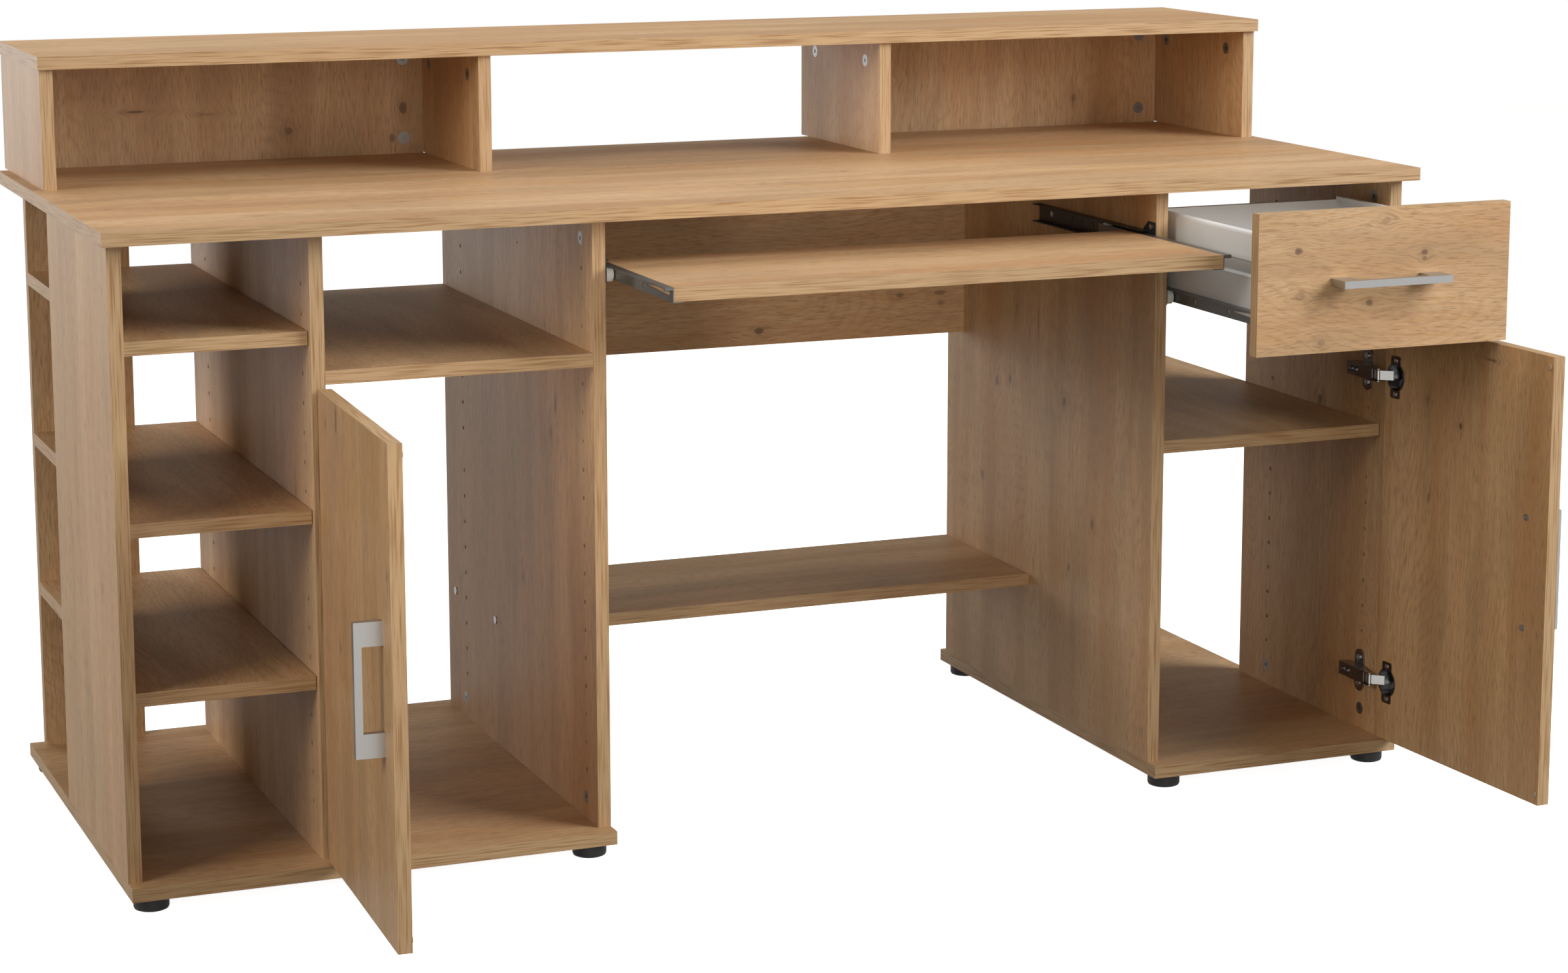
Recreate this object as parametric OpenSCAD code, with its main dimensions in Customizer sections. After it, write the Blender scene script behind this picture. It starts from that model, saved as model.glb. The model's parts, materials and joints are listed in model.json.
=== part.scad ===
// Computer desk: an open shelf bay, two cabinets with doors, a drawer, a keyboard tray,
// a footrest shelf and a low hutch, all in boards of one thickness.
// X runs right, Y runs back and Z runs up, in millimetres. Places are counted from the
// worktop's front left corner on the floor; in_frame then puts the origin under the middle
// of the desk as it is drawn, with both doors, the drawer and the tray open.

/* [Boards and bays] */
// Thickness of every board
board_t = 15; // [15:0.5:18]
// Height of the worktop's upper face
desk_h = 724; // [720:1:760]
// Depth of the worktop
worktop_d = 614; // [610:1:660]
// How far the worktop runs past the outer side panels
worktop_over = 9; // [6:1:20]
// Clear width of the open shelf bay
shelf_bay_w = 196; // [180:1:260]
// Clear width of each cabinet
cabinet_w = 297; // [280:1:360]
// Clear width of the knee space
knee_w = 670; // [620:1:760]
// Setback of the upright panels from the worktop's front edge
panel_front = 25; // [25:1:32]
// Depth of the dividers and the knee panels
panel_d = 568; // [540:1:572]
// Depth of the two outer side panels
side_d = 333; // [330:1:400]

/* [Base and feet] */
// Setback of the base plates from the worktop's front and rear edges
base_inset = 4; // [2:1:8]
// Diameter of a foot
foot_d = 38; // [30:1:45]
// Height of a foot
foot_h = 15; // [10:1:25]
// Distance of a foot's centre from the edges of its base plate
foot_inset = 24.5; // [23:0.5:40]

/* [Shelves and panels] */
// Hole row that carries the lowest shelf of the open bay
low_shelf_row = 4; // [2:1:6]
// Hole row that carries the middle shelf of the open bay
mid_shelf_row = 9; // [8:1:11]
// Hole row that carries the top shelf of the open bay
top_shelf_row = 15; // [13:1:16]
// Hole row that carries the shelf of the right cabinet
cabinet_shelf_row = 9; // [8:1:11]
// Setback of a loose shelf behind the panels' front edges
shelf_setback = 9; // [5:1:20]
// Gap at each end of a loose shelf
shelf_gap = 1; // [0.5:0.1:1.5]
// Hole row at the middle of the left cabinet's fixed shelf
fixed_shelf_row = 14; // [13:1:14]
// Width of a rear board
rear_board_w = 120; // [80:1:140]
// Gap between a rear board and the side panel's plane
rear_board_gap = 2; // [1:1:10]
// Height of the modesty panel
modesty_h = 240; // [160:1:300]
// Distance of the modesty panel's back from the panels' rear edges
modesty_setback = 33; // [15:1:60]
// Depth of the footrest shelf
footrest_d = 248; // [180:1:300]
// Height of the footrest shelf's upper face
footrest_h = 190; // [120:1:260]

/* [Hutch] */
// Clear height inside the hutch
hutch_h = 135; // [100:1:220]
// Gap between the worktop's rear edge and the hutch's backs behind it
hutch_back_gap = 9; // [2:1:15]
// Distance the hutch's backs hang below the worktop's upper face
hutch_back_drop = 15; // [5:1:40]
// Distance of the uprights' front edges from the worktop's front edge
hutch_front = 388; // [360:1:400]
// Distance of the hutch's left upright from the worktop's left end
hutch_inset_left = 12; // [8:1:20]
// Distance of the hutch's right upright from the worktop's right end
hutch_inset_right = 6; // [4:1:20]
// Clear width of the hutch's left compartment
hutch_left_w = 492; // [380:1:520]
// Clear width of the hutch's right compartment
hutch_right_w = 489; // [380:1:520]
// How far the hutch top runs past the uprights at the sides
hutch_top_side = 2.5; // [0:0.5:3.5]
// How far the hutch top runs past the uprights at the front
hutch_top_front = 6; // [0:1:12]

/* [Doors and drawer front] */
// Gap between the closed fronts and the panels behind them
front_gap = 2; // [2:0.1:3]
// Reveal between a front and the outer face of the panel that it hangs on
reveal_hinge = 2; // [1:0.5:3]
// Reveal between a front and the outer face of the knee panel
reveal_free = 3; // [1:0.5:4]
// Gap under the doors
reveal_low = 1.5; // [1:0.5:3]
// Gap between the right door and the drawer front
reveal_mid = 4.5; // [3:0.5:6]
// Gap between the drawer front and the worktop
reveal_top = 1; // [1:0.5:3]
// Height of the drawer front
drawer_front_h = 158; // [150:1:170]
// Angle at which the left door stands open
left_open = 92.6; // [80:0.1:98]
// Angle at which the right door stands open
right_open = 92.5; // [80:0.1:98]
// Distance between a handle's two screws
handle_pitch = 128; // [96:32:160]
// Height of a handle's bar and of its two legs
handle_bar = 8.2; // [7:0.1:12]
// Thickness of a handle's bar
handle_bar_t = 8; // [6:0.5:10]
// Length of each leg
handle_leg = 25; // [16:0.5:30]
// Distance from a handle's screw to the handle's end
handle_end = 5.2; // [4.4:0.1:8]
// Distance from the front to the handle's outer face
handle_reach = 30; // [25:0.5:35]
// Distance of a door handle from the door's free edge
handle_inset = 39; // [30:1:60]
// Height of a door handle's middle above the door's lower edge
handle_height = 262; // [150:1:400]

/* [Concealed hinges] */
// Distance of the hinge cup's centre from the door's hinge edge
cup_inset = 21.5; // [21.5:0.1:22]
// Diameter of the hinge cup
cup_d = 35; // [35:1:35]
// Hole row below the lower hinge's centre
low_hinge_row = 0; // [0:1:1]
// Hole row below the upper hinge's centre
high_hinge_row = 11; // [10:1:11]

/* [Line holes and pins] */
// Diameter of the shelf pin holes
line_hole_d = 5; // [5:0.1:5.5]
// Spacing of the rows
line_pitch = 32; // [32:1:32]
// Rows in the lower and in the upper group
line_rows = 9; // [9:1:9]
// Height of the lowest row above the base plate
line_first = 57; // [50:1:64]
// Height of the upper group's last row below the worktop
line_last = 57; // [53:1:61]
// Distance of the front column from the panels' front edges
line_front = 37; // [34:1:40]
// Distance of the rear column from the deep panels' rear edges
line_rear = 76; // [60:1:84]
// Distance of the rear column from the outer side panels' rear edges
side_line_rear = 68; // [60:1:76]
// Depth of a hole that is drilled from one side
line_depth = 10; // [8:1:11]
// Length of a shelf pin outside its hole
pin_out = 8; // [6:1:10]

/* [Cam fittings and dowels] */
// Diameter of a cam
cam_d = 15; // [12:1:15]
// Depth of a cam
cam_t = 12.5; // [11:0.1:12.5]
// Distance of a cam's centre from the board's end
cam_end = 24.5; // [24:0.5:34]
// Distance of the front cams from the front edge of the deep panels
cam_front = 40; // [34:1:50]
// Distance of the rear cams from the rear edge of the deep panels
cam_rear = 67.5; // [50:0.5:78]
// Distance of the hutch cams from the uprights' front and rear edges
hutch_cam_inset = 45; // [40:1:50]
// Diameter of a dowel
dowel_d = 8; // [6:1:8]
// Length of a dowel
dowel_l = 30; // [25:1:30]
// Distance between a cam and the dowel beside it
dowel_step = 24; // [20:1:26]

/* [Drawer box] */
// Length of the drawer box behind its front
drawer_l = 310; // [304:1:330]
// How far the drawer stands open
drawer_out = 212.6; // [150:0.1:220]
// Height of the drawer's steel sides
drawer_side_h = 86; // [80:1:100]
// Height of the drawer's back board
drawer_back_h = 82; // [70:1:84]
// Sheet thickness of the drawer's sides
side_sheet = 1.2; // [1:0.1:1.5]
// Depth of the long groove in a drawer side
groove_in = 3.5; // [2:0.5:5]
// Hole row that the drawer's rails are screwed to
drawer_row = 15; // [15:1:15]

/* [Keyboard tray] */
// Depth of the tray
tray_d = 231; // [200:1:290]
// How far the tray's front stands out before the worktop's front edge
tray_out = 155; // [60:1:190]
// Hole row that the tray's rails are screwed to
tray_row = 17; // [17:1:17]

/* [Runners] */
// Space between a panel and the board that runs beside it
runner_gap = 12.5; // [12.5:0.1:13]
// Length of a runner
runner_l = 300; // [290:1:310]
// Sheet thickness of the runners
runner_sheet = 1.2; // [1:0.1:1.4]
// Diameter of a roller
roller_d = 17; // [15:0.5:17]
// Width of a roller
roller_w = 8; // [6:0.5:8]
// Setback of a cabinet rail behind the panels' front edges
rail_setback = 0.5; // [0.5:0.5:4]

/* [Hidden] */
$fn = 48;
cut = 0.1;
oak = "#c9a26d";
oak_dark = "#a67c4e";
steel_dark = "#3c3c3e";
steel_white = "#d9d9d7";
nickel = "#a9a8a4";

// Left faces of the five uprights, and the worktop's width
left_x = worktop_over;
divider_x = left_x + board_t + shelf_bay_w;
knee_left_x = divider_x + board_t + cabinet_w;
knee_right_x = knee_left_x + board_t + knee_w;
right_x = knee_right_x + board_t + cabinet_w;
worktop_w = right_x + board_t + worktop_over;
// Heights
base_top = foot_h + board_t;
under_top = desk_h - board_t;
panel_h = under_top - base_top;
// Depths
panel_rear = panel_front + panel_d;
side_rear = panel_front + side_d;
base_d = worktop_d - 2 * base_inset;

// Line holes
front_line = panel_front + line_front;
deep_line = panel_rear - line_rear;
side_line = side_rear - side_line_rear;
function row_z(i) = i < line_rows ? base_top + line_first + i * line_pitch
  : under_top - line_last - (2 * line_rows - 1 - i) * line_pitch;
function shelf_z(row) = row_z(row) + line_hole_d / 2;

// Hutch
hutch_base = desk_h;
hutch_top_z = hutch_base + hutch_h;
back_y = worktop_d + hutch_back_gap;
hutch_rear = back_y + board_t;
hutch_d = hutch_rear - hutch_front;
hutch_x1 = hutch_inset_left;
hutch_x2 = hutch_x1 + board_t + hutch_left_w;
hutch_x4 = worktop_w - hutch_inset_right - board_t;
hutch_x3 = hutch_x4 - hutch_right_w - board_t;

// Fronts. A door's own frame has its origin on its pivot, with the closed door along +X.
front_in = panel_front - front_gap;
front_out = front_in - board_t;
door_w = cabinet_w + 2 * board_t - reveal_hinge - reveal_free;
door_z = base_top + reveal_low;
drawer_z = under_top - reveal_top - drawer_front_h;
door_h = drawer_z - reveal_mid - door_z;
pivot_in = 6;
pivot_back = 11;
pivot_y = front_in - pivot_back;
left_pivot_x = divider_x + reveal_hinge + pivot_in;
right_pivot_x = right_x + board_t - reveal_hinge - pivot_in;
free_edge = door_w - pivot_in;
door_handle_z = door_z + handle_height;
handle_side = handle_reach - handle_bar_t;
handle_l = handle_pitch + 2 * handle_end;

// Hinges. Their frame has X out of the panel's face and the closed door's Y.
hinge_z = [row_z(low_hinge_row) + line_pitch / 2, row_z(high_hinge_row) + line_pitch / 2];
cup_wall = 1.2;
cup_depth = 11.3;
cup_flange_t = 1;
cup_flange_h = 51;
cup_flange_w = 19;
cup_flange_round = 3;
cup_screw_z = 20.2;
cup_notch = 16.8;
pin_u = 14;
link_pin = [pin_u, panel_front - 7];
link_l = 18.5;
link_t = 1.6;
link_h = 11;
link_tail = 8;
link_closed = 185;
link_ratio = 0.39;
link_tail_turn = 131;
arm_nose = 3;
arm_web = pin_u + arm_nose;
arm_t = 1.2;
arm_half = 8;
arm_front = panel_front + 3;
arm_rear = front_line + 22;
plate_t = 2.5;
plate_half_w = 9.5;
plate_wing = 26;
pin_r = 1.05;
fit = 0.05;

// Runners, as profiles about the height of the front rollers
roller_r = roller_d / 2;
roller_gap = 0.3;
flange_top = roller_r + roller_gap + runner_sheet;
rail_low = -roller_r;
rail_high = flange_top + 3.5;
rear_roller_up = rail_high - runner_sheet - roller_gap - roller_r;
rail_y = panel_front + rail_setback;
front_roller_y = rail_y + roller_r + 0.1;
flange_start = 19.5;
rear_roller_back = 12;
axle_r = 2;
axle_l = 9.8;
rail_screw_up = 4;
rail_plate_up = 24;
rail_plate_l = 30;
rail_front_screw = [10, 18.5];
rail_slots = [0.23, 0.26, 0.5, 0.6, 0.69];
runner_holes = [0.3, 0.56];
tray_roller_z = row_z(tray_row) - rail_screw_up;
drawer_roller_z = row_z(drawer_row) - rail_screw_up;
tray_top = tray_roller_z + flange_top;
tray_w = knee_w - 2 * runner_gap;
drawer_floor = drawer_roller_z + flange_top;
drawer_w = cabinet_w - 2 * runner_gap;
drawer_y = front_in - drawer_out;
drawer_x = knee_right_x + board_t + runner_gap;

// Origin under the middle of the open desk
reach_right = right_pivot_x - (free_edge - handle_inset + handle_bar / 2) * cos(right_open)
  + (board_t - pivot_back + handle_reach) * sin(right_open);
reach_front = free_edge * sin(left_open) - pivot_back * cos(left_open) - pivot_y;
origin_x = reach_right / 2;
origin_y = (hutch_rear - reach_front) / 2;

module in_frame() {
  translate([-origin_x, -origin_y, 0]) children();
}

module board(p, s) {
  translate(p) cube(s);
}

// Places a fitting whose own frame has +Z out of a face and +X towards the board's end
module seat(place) {
  translate(place[0]) rotate(place[1]) rotate([0, 0, place[2]]) children();
}

// A place holds a point, a turn, a spin of 0 or 180 and the step to the dowel beside it
function place(p, turn, spin, step) = [p, turn, spin, spin == 0 ? step : -step];

// Places of the cams on an upright, whose face is at x and looks along side. The front
// cams' dowels are behind them, and the rear cams' dowels in front of them.
function upright_cams(x, side, ys, z0, z1) = [for (i = [0, 1]) for (top = [0, 1])
  place([x, ys[i], top == 1 ? z1 - cam_end : z0 + cam_end], [0, side * 90, 0],
    (top == 1) == (side > 0) ? 180 : 0, i == 0 ? dowel_step : -dowel_step)];

// Places of the cams on a board between x0 and x1, whose face looks along turn
function cross_cams(x0, x1, ps, turn) = [for (i = [0, 1]) for (end = [0, 1])
  place([end == 1 ? x1 - cam_end : x0 + cam_end, ps[i][0], ps[i][1]], turn,
    end == 1 ? 0 : 180, (turn[0] == 90) == (i == 0) ? dowel_step : -dowel_step)];

side_cam_ys = [front_line, side_line];
deep_cam_ys = [panel_front + cam_front, panel_rear - cam_rear];
hutch_cam_ys = [hutch_front + hutch_cam_inset, hutch_rear - hutch_cam_inset];
left_side_cams = upright_cams(left_x + board_t, 1, side_cam_ys, base_top, under_top);
divider_cams = upright_cams(divider_x + board_t, 1, deep_cam_ys, base_top, under_top);
knee_left_cams = upright_cams(knee_left_x, -1, deep_cam_ys, base_top, under_top);
knee_right_cams = upright_cams(knee_right_x + board_t, 1, deep_cam_ys, base_top, under_top);
right_side_cams = upright_cams(right_x, -1, side_cam_ys, base_top, under_top);
hutch_xs = [hutch_x1, hutch_x2, hutch_x3, hutch_x4];
// The left side's cams are on its right face, and the others' on their left faces
hutch_sides = [1, -1, -1, -1];
hutch_cams = [for (i = [0:3]) [for (c = upright_cams(hutch_xs[i]
  + (hutch_sides[i] > 0 ? board_t : 0), hutch_sides[i], hutch_cam_ys, hutch_base,
  hutch_top_z)) if (c[0][2] > hutch_base + hutch_h / 2) c]];
back_cam_low = 18.5;
back_cam_high = 20;
back_cam_zs = [hutch_base + back_cam_low, hutch_top_z - back_cam_high];
back_left_cams = cross_cams(hutch_x1 + board_t, hutch_x2,
  [for (z = back_cam_zs) [back_y, z]], [90, 0, 0]);
back_right_cams = cross_cams(hutch_x3 + board_t, hutch_x4,
  [for (z = back_cam_zs) [back_y, z]], [90, 0, 0]);
fixed_shelf_z = row_z(fixed_shelf_row) - board_t / 2;
fixed_shelf_cams = cross_cams(divider_x + board_t, knee_left_x,
  [for (y = [front_line, deep_line]) [y, fixed_shelf_z]], [180, 0, 0]);
modesty_y = panel_rear - modesty_setback - board_t;
modesty_z = under_top - modesty_h;
modesty_cam_inset = 40;
modesty_cams = cross_cams(knee_left_x + board_t, knee_right_x,
  [for (z = [modesty_z + modesty_cam_inset, under_top - modesty_cam_inset])
    [modesty_y + board_t, z]], [-90, 0, 0]);
left_unit_cams = concat(left_side_cams, divider_cams, knee_left_cams);
right_unit_cams = concat(knee_right_cams, right_side_cams);
all_cams = concat(left_unit_cams, right_unit_cams, hutch_cams[0], hutch_cams[1],
  hutch_cams[2], hutch_cams[3], back_left_cams, back_right_cams, fixed_shelf_cams,
  modesty_cams);
function high(cams) = [for (c = cams) if (c[0][2] > desk_h / 2) c];
function low(cams) = [for (c = cams) if (c[0][2] < desk_h / 2) c];

// Bolts and dowels; a dowel stands beside each cam, in the same two boards
bolt_r = 3.5;
bolt_hole_r = 4;
thread_r = 2.45;
thread_l = 9.5;
dowel_out = 10;

module cam_cut() {
  translate([0, 0, -cam_t - fit]) cylinder(r = cam_d / 2 + fit, h = cam_t + fit + cut);
  translate([0, 0, -board_t / 2]) rotate([0, 90, 0]) {
    cylinder(r = bolt_hole_r, h = cam_end);
    cylinder(r = thread_r + fit, h = cam_end + thread_l + fit);
  }
}

module dowel_cut(step) {
  translate([cam_end - (dowel_l - dowel_out) - 0.5, step, -board_t / 2]) rotate([0, 90, 0])
    cylinder(r = dowel_d / 2 + fit, h = dowel_l + 1);
}

module cam_disc() {
  difference() {
    translate([0, 0, -cam_t]) cylinder(r = cam_d / 2, h = cam_t);
    translate([0, 0, -board_t / 2]) rotate([0, 90, 0])
      cylinder(r = bolt_hole_r, h = cam_d);
    for (a = [0, 90]) rotate([0, 0, a + 45]) translate([-3, -0.6, -1.6]) cube([6, 1.2, 2]);
  }
}

module cam_bolt() {
  translate([0, 0, -board_t / 2]) rotate([0, 90, 0]) {
    translate([0, 0, 1]) cylinder(r = 3, h = 3);
    cylinder(r = 2, h = cam_end);
    translate([0, 0, 7.8]) cylinder(r = bolt_r, h = cam_end - 7.8);
    cylinder(r = thread_r, h = cam_end + thread_l);
  }
}

module dowel(step) {
  translate([cam_end - (dowel_l - dowel_out), step, -board_t / 2]) rotate([0, 90, 0])
    cylinder(r = dowel_d / 2, h = dowel_l);
}

module cam_cuts(list) {
  for (c = list) seat(c) {
    cam_cut();
    dowel_cut(c[3]);
  }
}

// The fixed shelf's bolts go into line holes, so only its dowels cut the panels
module dowel_cuts(list) {
  for (c = list) seat(c) dowel_cut(c[3]);
}

// Dowels that work alone: the hutch's feet, the rear boards and the footrest shelf
hutch_foot_dowels = [for (x = hutch_xs) for (y = hutch_cam_ys)
  [[x + board_t / 2, y, hutch_base], [0, 90, 0]]];
rear_xs = [left_x + board_t + rear_board_gap, right_x - rear_board_gap - rear_board_w];
rear_dowel_inset = 30;
rear_board_dowels = [for (x = rear_xs)
  for (s = [rear_dowel_inset, rear_board_w - rear_dowel_inset]) for (top = [0, 1])
  [[x + s, panel_rear + board_t / 2, top == 1 ? under_top : base_top],
   [0, top == 1 ? -90 : 90, 0]]];
footrest_y = panel_rear - footrest_d;
footrest_dowels = [for (x = [0, 1]) [[x == 1 ? knee_right_x : knee_left_x + board_t,
  footrest_y + footrest_d / 2, footrest_h - board_t / 2], [0, 0, x == 1 ? 0 : 180]]];
lone_dowels = concat(hutch_foot_dowels, rear_board_dowels, footrest_dowels);

// Its own frame has the joint at the origin and the thinner half of the dowel along +X
module lone_dowel(grow = 0) {
  translate([-(dowel_l - dowel_out) - grow * 10, 0, 0]) rotate([0, 90, 0])
    cylinder(r = dowel_d / 2 + grow, h = dowel_l + grow * 20);
}

module lone_cuts(list) {
  for (d = list) translate(d[0]) rotate(d[1]) lone_dowel(fit);
}

// One column of line holes on the face at x, drilled along side
module line_column(x, y, side, depth) {
  for (i = [0:2 * line_rows - 1]) translate([x, y, row_z(i)]) rotate([0, 90 * side, 0])
    translate([0, 0, -cut]) cylinder(r = line_hole_d / 2, h = depth + cut, $fn = 24);
}

module hole_x(x, y, z, side, depth, r) {
  translate([x, y, z]) rotate([0, 90 * side, 0]) translate([0, 0, -cut])
    cylinder(r = r, h = depth + cut, $fn = 24);
}

// Carcass boards
module worktop() {
  color(oak) in_frame() difference() {
    board([0, 0, under_top], [worktop_w, worktop_d, board_t]);
    cam_cuts(high(concat(left_unit_cams, right_unit_cams)));
    lone_cuts(concat(rear_board_dowels, hutch_foot_dowels));
  }
}

module base_plate(x0, x1, cams) {
  color(oak) in_frame() difference() {
    board([x0, base_inset, foot_h], [x1 - x0, base_d, board_t]);
    cam_cuts(low(cams));
    lone_cuts(rear_board_dowels);
    feet_at(x0, x1) cylinder(r = foot_stem_r + fit, h = foot_h + foot_stem_l + fit);
  }
}

module left_base_plate() {
  base_plate(left_x, knee_left_x + board_t, left_unit_cams);
}

module right_base_plate() {
  base_plate(knee_right_x, right_x + board_t, right_unit_cams);
}

module left_side_panel() {
  color(oak) in_frame() difference() {
    board([left_x, panel_front, base_top], [board_t, side_d, panel_h]);
    cam_cuts(left_side_cams);
    for (y = [front_line, side_line]) line_column(left_x + board_t, y, -1, line_depth);
  }
}

module left_divider() {
  color(oak) in_frame() difference() {
    board([divider_x, panel_front, base_top], [board_t, panel_d, panel_h]);
    cam_cuts(divider_cams);
    dowel_cuts(fixed_shelf_cams);
    for (y = [front_line, deep_line]) line_column(divider_x, y, 1, board_t + cut);
  }
}

module left_knee_panel() {
  color(oak) in_frame() difference() {
    board([knee_left_x, panel_front, base_top], [board_t, panel_d, panel_h]);
    cam_cuts(knee_left_cams);
    dowel_cuts(fixed_shelf_cams);
    cam_cuts(modesty_cams);
    lone_cuts(footrest_dowels);
    for (y = [front_line, deep_line]) line_column(knee_left_x, y, 1, line_depth);
    rail_holes(knee_left_x + board_t, -1, tray_roller_z);
    hole_x(knee_left_x, side_line, row_z(tray_row), 1, board_t, pilot_r);
    for (y = footrest_screw_ys) hole_x(knee_left_x, y, footrest_h - board_t / 2, 1,
      board_t + cut, confirmat_r + fit);
  }
}

module right_knee_panel() {
  color(oak) in_frame() difference() {
    board([knee_right_x, panel_front, base_top], [board_t, panel_d, panel_h]);
    cam_cuts(knee_right_cams);
    cam_cuts(modesty_cams);
    lone_cuts(footrest_dowels);
    for (y = [front_line, deep_line])
      line_column(knee_right_x + board_t, y, -1, line_depth);
    rail_holes(knee_right_x, 1, tray_roller_z);
    rail_holes(knee_right_x + board_t, -1, drawer_roller_z);
    for (y = footrest_screw_ys) hole_x(knee_right_x + board_t, y, footrest_h - board_t / 2,
      -1, board_t + cut, confirmat_r + fit);
  }
}

module right_side_panel() {
  color(oak) in_frame() difference() {
    board([right_x, panel_front, base_top], [board_t, side_d, panel_h]);
    cam_cuts(right_side_cams);
    for (y = [front_line, side_line]) line_column(right_x, y, 1, line_depth);
    hole_x(right_x, rail_y + rail_front_screw[0], drawer_roller_z + rail_front_screw[1], 1,
      line_depth, line_hole_d / 2);
  }
}

// Holes for a rail's two screws in the panel face at x
module rail_holes(x, side, z) {
  hole_x(x, side_line, z + rail_screw_up, side, line_depth, line_hole_d / 2);
  hole_x(x, rail_y + rail_front_screw[0], z + rail_front_screw[1], side, line_depth,
    line_hole_d / 2);
}

module rear_board(x) {
  color(oak) in_frame() difference() {
    board([x, panel_rear, base_top], [rear_board_w, board_t, panel_h]);
    lone_cuts(rear_board_dowels);
  }
}

module left_rear_board() {
  rear_board(rear_xs[0]);
}

module right_rear_board() {
  rear_board(rear_xs[1]);
}

// Loose shelf that lies on pins in one row, in the bay that starts at x
module loose_shelf(x, w, row) {
  color(oak) in_frame() board([x + shelf_gap, panel_front + shelf_setback, shelf_z(row)],
    [w - 2 * shelf_gap, panel_d - shelf_setback, board_t]);
}

module left_bottom_shelf() {
  loose_shelf(left_x + board_t, shelf_bay_w, low_shelf_row);
}

module left_middle_shelf() {
  loose_shelf(left_x + board_t, shelf_bay_w, mid_shelf_row);
}

module left_top_shelf() {
  loose_shelf(left_x + board_t, shelf_bay_w, top_shelf_row);
}

module cabinet_adjustable_shelf() {
  loose_shelf(knee_right_x + board_t, cabinet_w, cabinet_shelf_row);
}

module cabinet_fixed_shelf() {
  color(oak) in_frame() difference() {
    board([divider_x + board_t, panel_front, fixed_shelf_z], [cabinet_w, panel_d, board_t]);
    cam_cuts(fixed_shelf_cams);
  }
}

module modesty_panel() {
  color(oak_dark) in_frame() difference() {
    board([knee_left_x + board_t, modesty_y, modesty_z], [knee_w, board_t, modesty_h]);
    cam_cuts(modesty_cams);
  }
}

module footrest_shelf() {
  color(oak) in_frame() difference() {
    board([knee_left_x + board_t, footrest_y, footrest_h - board_t],
      [knee_w, footrest_d, board_t]);
    lone_cuts(footrest_dowels);
    for (y = footrest_screw_ys) {
      hole_x(knee_left_x + board_t, y, footrest_h - board_t / 2, 1, confirmat_l - board_t,
        confirmat_r + fit);
      hole_x(knee_right_x, y, footrest_h - board_t / 2, -1, confirmat_l - board_t,
        confirmat_r + fit);
    }
  }
}

// Hutch
module hutch_upright(i) {
  color(oak) in_frame() difference() {
    board([hutch_xs[i], hutch_front, hutch_base], [board_t, hutch_d, hutch_h]);
    cam_cuts(hutch_cams[i]);
    cam_cuts(back_left_cams);
    cam_cuts(back_right_cams);
    lone_cuts(hutch_foot_dowels);
  }
}

module hutch_left_side() {
  hutch_upright(0);
}

module hutch_left_divider() {
  hutch_upright(1);
}

module hutch_right_divider() {
  hutch_upright(2);
}

module hutch_right_side() {
  hutch_upright(3);
}

module hutch_back(x0, x1, cams) {
  color(oak) in_frame() difference() {
    board([x0, back_y, hutch_base - hutch_back_drop],
      [x1 - x0, board_t, hutch_h + hutch_back_drop]);
    cam_cuts(cams);
  }
}

module hutch_left_back() {
  hutch_back(hutch_x1 + board_t, hutch_x2, back_left_cams);
}

module hutch_right_back() {
  hutch_back(hutch_x3 + board_t, hutch_x4, back_right_cams);
}

module hutch_top() {
  color(oak) in_frame() difference() {
    board([hutch_x1 - hutch_top_side, hutch_front - hutch_top_front, hutch_top_z],
      [hutch_x4 + board_t - hutch_x1 + 2 * hutch_top_side, hutch_d + hutch_top_front,
       board_t]);
    for (i = [0:3]) cam_cuts(hutch_cams[i]);
  }
}

// Feet, pins, cams and dowels
pilot_r = 1.5;
foot_stem_r = 4;
foot_stem_l = 10;

module feet_at(x0, x1) {
  for (x = [x0 + foot_inset, x1 - foot_inset])
    for (y = [base_inset + foot_inset, base_inset + base_d - foot_inset])
      translate([x, y, 0]) children();
}

module foot() {
  rotate_extrude() polygon([[0, 0], [foot_d / 2 - 3, 0], [foot_d / 2 - 0.9, 0.9],
    [foot_d / 2, 3], [foot_d / 2, foot_h], [foot_stem_r, foot_h],
    [foot_stem_r, foot_h + foot_stem_l], [0, foot_h + foot_stem_l]]);
}

module feet() {
  color("#1b1b1c") in_frame() {
    feet_at(left_x, knee_left_x + board_t) foot();
    feet_at(knee_right_x, right_x + board_t) foot();
  }
}

module pin(x, y, row, side) {
  translate([x, y, row_z(row)]) rotate([0, 90 * side, 0])
    translate([0, 0, -line_depth + 0.5])
      cylinder(r = line_hole_d / 2 - fit, h = line_depth - 0.5 + pin_out, $fn = 24);
}

module shelf_pins() {
  color(nickel) in_frame() {
    for (row = [low_shelf_row, mid_shelf_row, top_shelf_row]) {
      for (y = [front_line, side_line]) pin(left_x + board_t, y, row, 1);
      for (y = [front_line, deep_line]) pin(divider_x, y, row, -1);
    }
    for (y = [front_line, deep_line])
      pin(knee_right_x + board_t, y, cabinet_shelf_row, 1);
    for (y = [front_line, side_line]) pin(right_x, y, cabinet_shelf_row, -1);
  }
}

module cam_discs() {
  color(nickel) in_frame() for (c = all_cams) seat(c) cam_disc();
}

module cam_bolts() {
  color(nickel) in_frame() for (c = all_cams) seat(c) cam_bolt();
}

module dowels() {
  color("#d8c39a") in_frame() {
    for (c = all_cams) seat(c) dowel(c[3]);
    for (d = lone_dowels) translate(d[0]) rotate(d[1]) lone_dowel();
  }
}

// Concealed hinges
module at_hinges(hand) {
  for (z = hinge_z) translate([hand > 0 ? divider_x + board_t : right_x, 0, z])
    mirror([hand > 0 ? 0 : 1, 0, 0]) children();
}

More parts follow.
